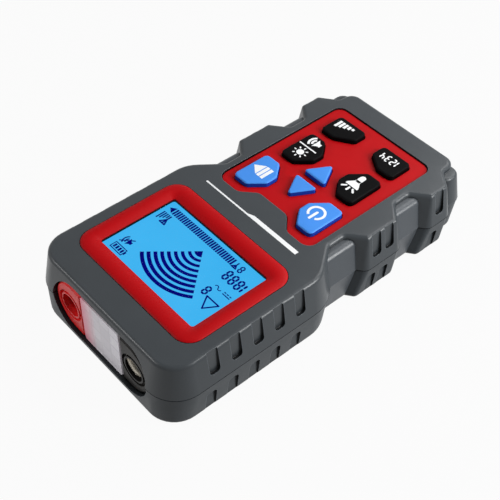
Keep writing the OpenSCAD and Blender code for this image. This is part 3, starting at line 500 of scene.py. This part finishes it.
def add_piece(name, bm, material, body):
    """Put the finished mesh into the scene, on its body."""
    bmesh.ops.recalc_face_normals(bm, faces=bm.faces)
    mesh = bpy.data.meshes.new(name)
    bm.to_mesh(mesh)
    bm.free()
    mesh.materials.append(material)
    ob = bpy.data.objects.new(name, mesh)
    bpy.context.scene.collection.objects.link(ob)
    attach(ob, body)
    return ob


def flat_piece(name, shapes, z, material, body, thick=PRINT_THICK):
    """Flat shapes, each a list of (x, y), from z up."""
    bm = bmesh.new()
    for shape in shapes:
        low, high = (loop(bm, [(x, y, level) for x, y in shape]) for level in (z, z + thick))
        bm.faces.new(high)
        bm.faces.new(low[::-1])
        bridge(bm, low, high)
    add_piece(name, bm, material, body)


def ring_piece(name, outer, inner, low, high, material, body):
    """Upright ring between two outlines of as many points."""
    bm = bmesh.new()
    rows = ((outer, low), (outer, high), (inner, high), (inner, low))
    loops = [loop(bm, [(x, y, z) for x, y in line]) for line, z in rows]
    for a, b in zip(loops, loops[1:] + loops[:1]):
        bridge(bm, a, b)
    add_piece(name, bm, material, body)


def tube_piece(name, centre, outer, inner, back, front, material, body, mouth=0.3, steps=40):
    """Tube along y round the centre (x, z), with a chamfered mouth."""
    bm = bmesh.new()
    rows = ((outer, back), (outer, front - mouth), (outer - mouth, front),
            (inner + mouth, front), (inner, front - mouth), (inner, back))
    turns = [2 * math.pi * k / steps for k in range(steps)]
    loops = [loop(bm, [(centre[0] + r * math.cos(a), y, centre[1] + r * math.sin(a)) for a in turns])
             for r, y in rows]
    for a, b in zip(loops, loops[1:] + loops[:1]):
        for face in bridge(bm, a, b):
            face.smooth = True
    add_piece(name, bm, material, body)


def pad_edge(z, x, up):
    """Quarter round from the wall at z, x over to a flat end, as (z, outer x, inset of the end)."""
    return [(z + up * PAD_ROUND * math.sin(a), x - PAD_ROUND * (1 - math.cos(a)), PAD_ROUND * (1 - math.cos(a)))
            for a in QUARTER_TURN]


def finger_pads(name, levels, material, body):
    """Rounded pads in the finger hollows of one shell, four in one mesh."""
    bm = bmesh.new()
    for side in (-1, 1):
        for tail, head in PAD_PLACES:
            loops = []
            for z, x, inset in levels:
                end = tail + inset
                r = max(PAD_CORNER - inset, PAD_LEAST_CORNER)
                arc = [(x - r + r * math.sin(a), end + r - r * math.cos(a)) for a in QUARTER_TURN]
                line = [(PAD_IN, end)] + arc + [(x, head), (PAD_IN, head)]
                loops.append(loop(bm, [(side * px, py, z) for px, py in line]))
            for low, high in zip(loops, loops[1:]):
                bridge(bm, low, high)
            bm.faces.new(loops[0])
            bm.faces.new(loops[-1])
    return add_piece(name, bm, material, body)


# Outlines of printed marks, in millimetres

def on_circle(centre, radius, turn):
    return (centre[0] + radius * math.cos(turn), centre[1] + radius * math.sin(turn))


def rounded_box(x, y, half_x, half_y, radius, steps=10):
    """Box round x, y with rounded corners."""
    out = []
    for sx, sy, start in ((1, -1, -90), (1, 1, 0), (-1, 1, 90), (-1, -1, 180)):
        corner = (x + sx * (half_x - radius), y + sy * (half_y - radius))
        out += [on_circle(corner, radius, math.radians(start + 90 * k / steps)) for k in range(steps + 1)]
    return out


def bar(x0, y0, x1, y1):
    return [(x0, y0), (x1, y0), (x1, y1), (x0, y1)]


def stroke(a, b, width, steps=6):
    """Straight line from a to b with round ends."""
    along = math.atan2(b[1] - a[1], b[0] - a[0])
    return [on_circle(centre, width / 2, start + math.pi * k / steps)
            for centre, start in ((b, along - math.pi / 2), (a, along + math.pi / 2)) for k in range(steps + 1)]


def arc_band(centre, inner, outer, start, stop, steps):
    """Band between two radii, angles in degrees."""
    out = []
    for radius, sweep in ((outer, range(steps + 1)), (inner, range(steps, -1, -1))):
        out += [on_circle(centre, radius, math.radians(start + (stop - start) * k / steps)) for k in sweep]
    return out


def disc(centre, radius, steps=24):
    return [on_circle(centre, radius, 2 * math.pi * k / steps) for k in range(steps)]


def digit(code, x, y, w, h, t):
    """Seven-segment digit of stroke t with its lower left corner at x, y."""
    lit = {"1": "bc", "2": "abged", "3": "abgcd", "4": "fgbc", "8": "abcdefg"}[code]
    g = t * SEGMENT_GAP
    left, right, low, top = x + t / 2, x + w - t / 2, y + t / 2, y + h - t / 2
    mid = y + h / 2

    def segment(start, stop):
        """Points along and beside a segment with pointed ends."""
        return [(start + g, 0), (start + g + t / 2, t / 2), (stop - g - t / 2, t / 2), (stop - g, 0),
                (stop - g - t / 2, -t / 2), (start + g + t / 2, -t / 2)]

    def flat(cy):
        return [(along, cy + beside) for along, beside in segment(left, right)]

    def tall(cx, start, stop):
        return [(cx + beside, along) for along, beside in segment(start, stop)]

    forms = {"a": flat(top), "g": flat(mid), "d": flat(low), "f": tall(left, mid, top), "b": tall(right, mid, top),
             "e": tall(left, low, mid), "c": tall(right, low, mid)}
    return [forms[s] for s in lit]


def speaker(x, y, w, h, bold, struck):
    """Loudspeaker with two waves, struck through or not; bold widens its lines."""
    box, horn = x + w * 0.16, x + w * 0.44
    out = [[(x, y + h * 0.34), (box, y + h * 0.34), (horn, y + h * 0.08), (horn, y + h * 0.92),
            (box, y + h * 0.66), (x, y + h * 0.66)]]
    half = 0.05 * bold
    for wave in (0.3, 0.54):
        out.append(arc_band((x + w * 0.36, y + h * 0.5), w * (wave - half), w * (wave + half), -50, 50, 10))
    if struck:
        out.append(stroke((x + w * 0.08, y + h * 0.02), (x + w * 0.98, y + h * 0.96), w * 0.09 * bold))
    return out


def antenna(x, y, w, h, t):
    """Mast with a V of arms under a top bar, of stroke t."""
    mid = x + w / 2
    left, right = (x + t / 2, y + h - t / 2), (x + w - t / 2, y + h - t / 2)
    fork = (mid, y + h * 0.45)
    return [bar(mid - t / 2, y, mid + t / 2, y + h), stroke(left, right, t), stroke(left, fork, t),
            stroke(right, fork, t)]


add_camera()
add_world()
add_floor()
for lamp in LAMPS:
    add_lamp(*lamp)

# Materials of the case, the panels, the keys, the sockets and the scene's own pieces
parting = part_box("upper_shell")[0][2]
# Relief paints highlights on outer edges and shade in crevices; seam paints the parting line's groove dark as
# shade
shell_grey = moulded("shell_grey", (51, 56, 60), 0.33, 0.05, edge=SHELL_EDGE, specular=0.32, seam=parting,
                     relief=2.0)
# The finger pads: a lighter copy of the shell's grey, a painted light where they face the lamps
pad_painted_light_grey = moulded("pad_painted_light_grey", (62, 67, 72), 0.34, 0.05, edge=SHELL_EDGE, specular=0.35, relief=0.6)
shell_under = moulded("shell_under", (54, 59, 63), 0.4, 0.05, edge=SHELL_EDGE, specular=0.15, seam=parting,
                      relief=1.5)
signal_red = moulded("signal_red", (176, 4, 12), 0.5, 0.04, grain=PANEL_GRAIN, specular=0.12)
# The keys' sides that don't look up take a painted shade
key_blue = moulded("key_blue", (70, 142, 230), 0.45, 0.04, grain=KEY_GRAIN, depth=GRAIN_DEEP, edge=KEY_EDGE,
                   specular=0.15, side=(12, 58, 168))
key_black = moulded("key_black", (8, 8, 9), 0.45, 0.1, grain=KEY_GRAIN, edge=KEY_EDGE, specular=0.03,
                    side=(6, 6, 7))
socket_red = moulded("socket_red", (246, 40, 40), 0.35, 0.05, depth=GRAIN_DEEP, edge=KEY_EDGE, specular=0.2)
socket_black = moulded("socket_black", (30, 28, 27), 0.4, 0.08, edge=KEY_EDGE, specular=0.1)
print_white = moulded("print_white", (240, 242, 243), 0.5, 0.03, edge=0.0)
# Black for the painted shadow in the gaps round the window and the surround
gap_shadow = moulded("gap_shadow_black", (16, 15, 16), 0.7, 0.1, specular=0.1)
# The display's navy ink glows with light of its own: a painted light
navy = linear(6, 8, 122)
segment_navy = glowing("segment_navy", scaled(navy, INK_SHADE), navy, patch=200, rough=0.8)
display_blue = glowing("display_blue", linear(62, 179, 240), linear(68, 183, 243), patch=28, rough=0.6)

# The lens takes a painted red cast from the socket on the side where that stands
lens_low, lens_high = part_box("torch_lens")
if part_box("red_jack")[0][0] > 0:
    lens_cast_full, lens_cast_gone = lens_high[0], lens_high[0] - LENS_RED_CAST
else:
    lens_cast_full, lens_cast_gone = lens_low[0], lens_low[0] + LENS_RED_CAST

dress(shell_grey, "upper_shell")
dress(shell_under, "lower_shell", "battery_door")
dress(signal_red, "lcd_bezel", "keypad_panel")
dress(key_blue, "power_key", "send_key", "up_key", "down_key")
dress(key_black, "torch_key", "light_key", "code_key", "level_key")
dress(clear("window_clear", (248, 252, 255), 0.0, 1.05), "lcd_window")
dress(display_blue, "lcd_panel")
dress(moulded("light_guide", (235, 242, 248), 0.3), "backlight")
dress(moulded("contact_rubber", (206, 140, 160), 0.7), "zebra_strips")
dress(moulded("mat_rubber", (140, 142, 144), 0.7), "keypad_mat")
dress(metal("dome_steel", (200, 202, 206)), "dome_switches")
dress(board("board_green", (28, 100, 54)), "main_board")
dress(board("board_white", (238, 238, 232)), "torch_board")
dress(metal("screw_steel", (170, 174, 178)), "board_screws", "case_screws")
dress(moulded("chip_black", (30, 31, 33), 0.5), "board_chips", "sounder", "battery_snap")
dress(moulded("core_brown", (96, 78, 56), 0.4), "output_transformer")
dress(socket_red, "red_jack")
dress(socket_black, "black_jack")
dress(metal("contact_plating", (212, 210, 206), 0.2), "red_sleeve", "black_sleeve", "contact_strips")
dress(frosted("lens_clear", (250, 247, 253), (238, 150, 168), lens_cast_full, lens_cast_gone), "torch_lens")
dress(clear("led_clear", (252, 252, 244), 0.1, 1.4), "torch_leds")
dress(moulded("battery_jacket", (48, 52, 60), 0.35), "battery")

# Finger pads, each from the parting line to a rounded end
pads = [finger_pads("upper_pads", [(17.75, 41.36, 0.0)] + pad_edge(30.0, 38.96, 1), pad_painted_light_grey, "case"),
        finger_pads("lower_pads", [(17.45, 41.06, 0.0)] + pad_edge(3.3, 39.76, -1), pad_painted_light_grey, "case")]
soften(*pads, *(nodes[name] for name in (
    "upper_shell", "lower_shell", "lcd_bezel", "battery_door", "keypad_panel", "red_jack", "black_jack",
    "torch_lens", "power_key", "send_key", "up_key", "down_key", "torch_key", "light_key", "code_key",
    "level_key")))

# White line across the face between display and keypad
face_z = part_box("upper_shell")[1][2] / MM
line = [(-28.6, 8.6), (-28.6, 6.5), (-0.6, 6.5), (2.5, 7.75), (30, 7.75), (30, 8.55)]
flat_piece("face_line", [line], face_z, print_white, "case")

# Power: an open ring and a stem
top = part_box("power_key")[1][2] / MM
x, y = -17.5, -14.4
shapes = [arc_band((x, y), 3.15, 4.35, 122, 418, 48), stroke((x, y - 0.4), (x, y + 4.4), 1.3)]
flat_piece("power_symbol", shapes, top, print_white, "power_key")

# Send: two bars and an arrow head
low, mid, high = -18.0, -14.3, -10.6
shapes = [bar(14.1, low, 15.85, high), bar(16.35, low, 18.1, high), [(18.6, low), (23.4, mid), (18.6, high)]]
flat_piece("send_symbol", shapes, top, print_white, "send_key")

# Torch: its head, its handle and three rays
x = -15.1
shapes = [
    [(x - 3.6, -38.0), (x + 3.6, -38.0), (x + 3.4, -39.2), (x + 1.5, -42.0), (x - 1.5, -42.0), (x - 3.4, -39.2)],
    stroke((x, -43.2), (x, -45.6), 2.9), bar(x - 1.45, -43.2, x + 1.45, -41.8),
    stroke((x, -36.9), (x, -34.9), 1.0)]
shapes += [stroke((x + way * 2.0, -37.0), (x + way * 3.4, -35.5), 1.0) for way in (-1, 1)]
flat_piece("torch_symbol", shapes, top, print_white, "torch_key")

# Light and sound: a sun and a loudspeaker either side of a line
sun = (16.3, -36.3)
turns = [math.pi / 4 * k for k in range(8)]
shapes = [disc(sun, 1.85)] + [stroke(on_circle(sun, 2.8, t), on_circle(sun, 3.4, t), 0.7) for t in turns]
shapes += [bar(11.0, -41.55, 21.7, -40.8)] + speaker(13.0, -49.3, 7.0, 6.6, 1.6, False)
flat_piece("light_symbol", shapes, top, print_white, "light_key")

# Code: plain digits in a row; level: five rising bars
shapes = [s for k, d in enumerate("1234") for s in digit(d, -20.2 + 2.95 * k, -66.4, 2.3, 4.8, 0.7)]
flat_piece("code_symbol", shapes, top, print_white, "code_key")
shapes = [bar(11.0 + 1.95 * k, -66.8, 12.4 + 1.95 * k, -65.4 + 0.95 * k) for k in range(5)]
flat_piece("level_symbol", shapes, top, print_white, "level_key")

# What the display shows: a fan of arcs round its apex
apex = (-0.57, 35.4)
shown = [arc_band(apex, r - 0.68 - r / 140, r + 0.68 + r / 140, 50.4, 131.4, 32)
         for r in (25.7, 22.9, 20.0, 17.2, 14.4, 11.5, 8.6, 5.6)]
shown.append([apex] + [on_circle(apex, 3.6, math.radians(a)) for a in range(50, 132, 9)])
# A battery with four cells, and a struck loudspeaker
shown += [bar(19.8, 59.6, 27.6, 60.05), bar(19.8, 63.05, 27.6, 63.5), bar(27.15, 60.05, 27.6, 63.05),
          bar(19.8, 60.05, 20.25, 63.05), bar(19.2, 60.7, 19.8, 62.4)]
shown += [bar(20.75 + 1.6 * k, 60.5, 21.8 + 1.6 * k, 62.6) for k in range(4)]
shown += speaker(22.0, 53.6, 5.4, 4.9, 1.2, True)
# An antenna with rising bars
shown += antenna(22.0, 32.8, 4.0, 5.9, 0.75)
shown += [bar(24.75 + 1.15 * k, 32.8, 25.45 + 1.15 * k, 35.2 + 0.95 * k) for k in range(4)]
# A scale of bars from an antenna and a digit to an arrow head
shown += [bar(-13.9 + 1.33 * k, 27.8, -12.95 + 1.33 * k, 31.7) for k in range(30)]
shown += [[(26.2, 27.7), (29.0, 29.7), (26.2, 31.7)]]
shown += digit("8", -20.2, 27.9, 2.3, 4.2, 0.7) + antenna(-17.4, 28.1, 3.3, 3.8, 0.65)
# A number of four digits, a plain triangle and a digit
for code, x in (("1", -30.0), ("8", -26.4), ("8", -22.75), ("8", -19.1)):
    shown += digit(code, x, 33.2, 2.95, 6.1, 0.95)
left, right, peak = (-28.1, 49.8), (-20.8, 49.8), (-24.45, 55.6)
shown += [stroke(left, right, 0.7), stroke(left, peak, 0.7), stroke(right, peak, 0.7)]
shown += digit("8", -19.8, 45.5, 2.95, 5.2, 0.9)
# The signs of direct and alternating current
shown += [bar(-28.1, 44.0, -23.8, 44.5)] + [bar(-28.1 + 1.6 * k, 42.9, -27.0 + 1.6 * k, 43.4) for k in range(3)]
shown += [arc_band((-21.4, 43.5), 0.7, 1.15, 10, 170, 10), arc_band((-19.55, 43.9), 0.7, 1.15, 190, 350, 10)]
# All of it moved to where the photograph's camera sees it on the glass
glass_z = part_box("lcd_panel")[1][2] / MM
shift_x, shift_y = -0.28, 0.25
shown = [[(x + shift_x, y + shift_y) for x, y in shape] for shape in shown]
flat_piece("display_segments", shown, glass_z, segment_navy, "case", INK_THICK)

# Plated liner inside the black socket's shroud
low, high = (Vector(v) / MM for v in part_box("black_sleeve"))
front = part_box("black_jack")[1][1] / MM
liner_outer, liner_inner, liner_back, liner_front = 5.45, 5.1, front - 6, front - 0.8
tube_piece("socket_liner", ((low.x + high.x) / 2, (low.z + high.z) / 2), liner_outer, liner_inner, liner_back,
           liner_front, metal("liner_plating", (176, 170, 158), 0.35), "case")

# Dark rings of painted shadow in the gaps round the window and round the surround: corner, clearances, foot and
# top
for name, node, corner, near, far, foot, head in (
        ("window_gap_shadow", "lcd_window", 1.15, 0.03, 0.22, glass_z + 0.03, None),
        ("surround_gap_shadow", "lcd_bezel", 8.0, 0.03, 0.27, face_z - 0.6, face_z + 0.05)):
    low, high = (Vector(v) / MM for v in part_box(node))
    mid = (low + high) / 2
    half = (high - low) / 2
    outer, inner = (rounded_box(mid.x, mid.y, half.x + g, half.y + g, corner + g) for g in (far, near))
    ring_piece(name, outer, inner, foot, head or high.z + GAP_SHADOW_RISE, gap_shadow, "case")

scene = bpy.context.scene
scene.view_settings.view_transform = "Standard"
low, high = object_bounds()
